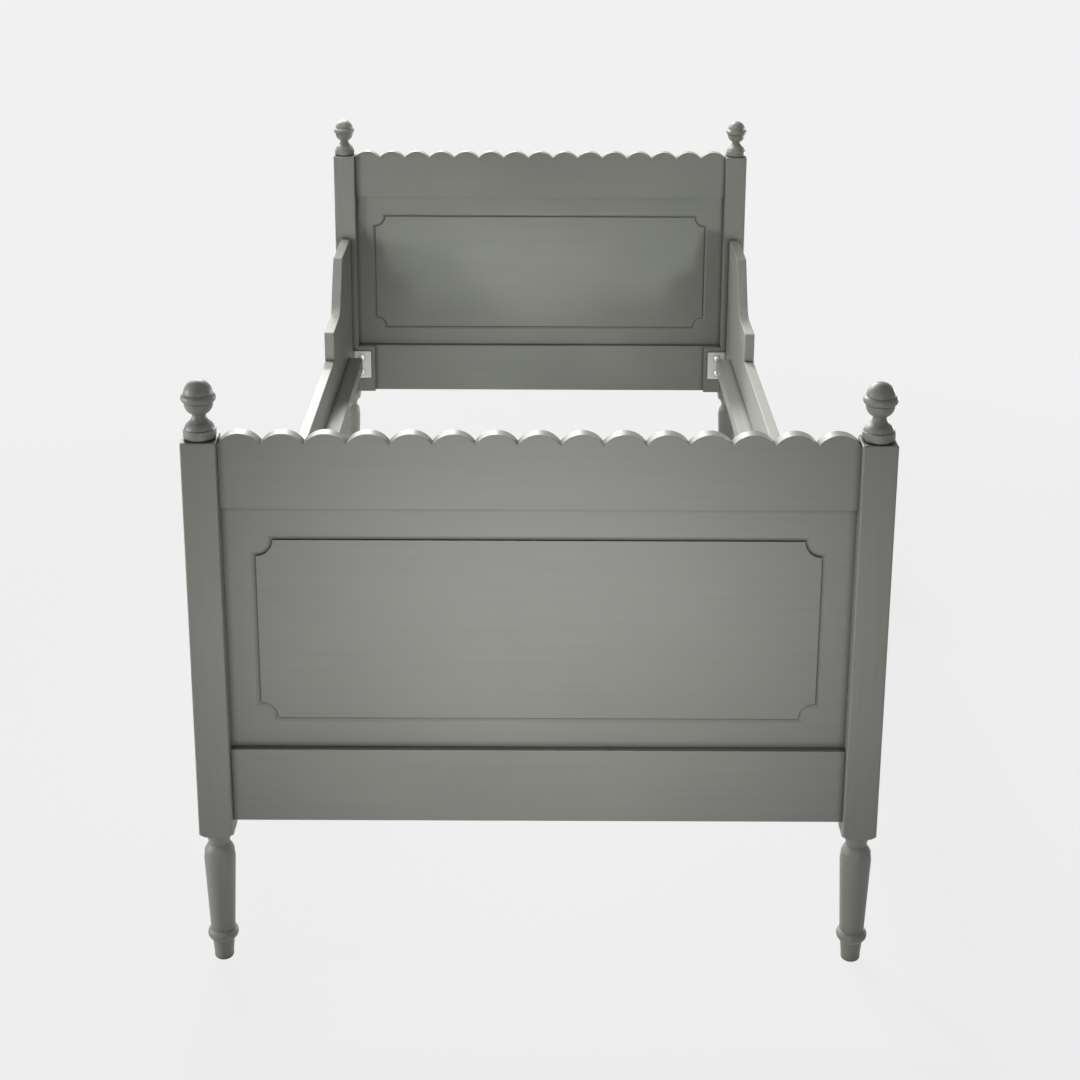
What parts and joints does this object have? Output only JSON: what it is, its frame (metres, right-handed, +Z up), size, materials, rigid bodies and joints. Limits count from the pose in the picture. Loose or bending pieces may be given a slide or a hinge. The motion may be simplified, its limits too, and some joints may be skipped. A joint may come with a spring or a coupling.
{
  "type": "single bed",
  "caption": "Painted wooden single bed frame with panelled ends, scalloped top rails, turned feet, finials and side rails with shaped wings at the head.",
  "frame": {"origin": "on the floor at the middle of the bed's footprint", "axes": "+Z up, +Y from the foot end towards the head end, +X to the right seen from the foot end"},
  "size_m": [1, 2.11, 0.9188],
  "materials": {
    "painted_wood": "satin paint",
    "bare_wood": "raw",
    "zinc_plate": "zinc plated",
    "steel_fasteners": "zinc plated"
  },
  "bodies": {
    "root": {"bracket_bolts": "steel_fasteners", "bracket_screws": "steel_fasteners", "finial_dowels": "bare_wood", "foot_bottom_rail": "painted_wood", "foot_bracket_left": "zinc_plate", "foot_bracket_right": "zinc_plate", "foot_corner_block_left": "painted_wood", "foot_corner_block_right": "painted_wood", "foot_finial_left": "painted_wood", "foot_finial_right": "painted_wood", "foot_panel": "painted_wood", "foot_post_left": "painted_wood", "foot_post_right": "painted_wood", "foot_top_rail": "painted_wood", "head_bottom_rail": "painted_wood", "head_bracket_left": "zinc_plate", "head_bracket_right": "zinc_plate", "head_corner_block_left": "painted_wood", "head_corner_block_right": "painted_wood", "head_finial_left": "painted_wood", "head_finial_right": "painted_wood", "head_panel": "painted_wood", "head_post_left": "painted_wood", "head_post_right": "painted_wood", "head_top_rail": "painted_wood", "ledger_left": "painted_wood", "ledger_right": "painted_wood", "ledger_screws": "steel_fasteners", "rail_dowels": "bare_wood", "side_rail_left": "painted_wood", "side_rail_right": "painted_wood", "wing_dowels": "bare_wood", "wing_left": "painted_wood", "wing_right": "painted_wood"}
  },
  "joints": []
}
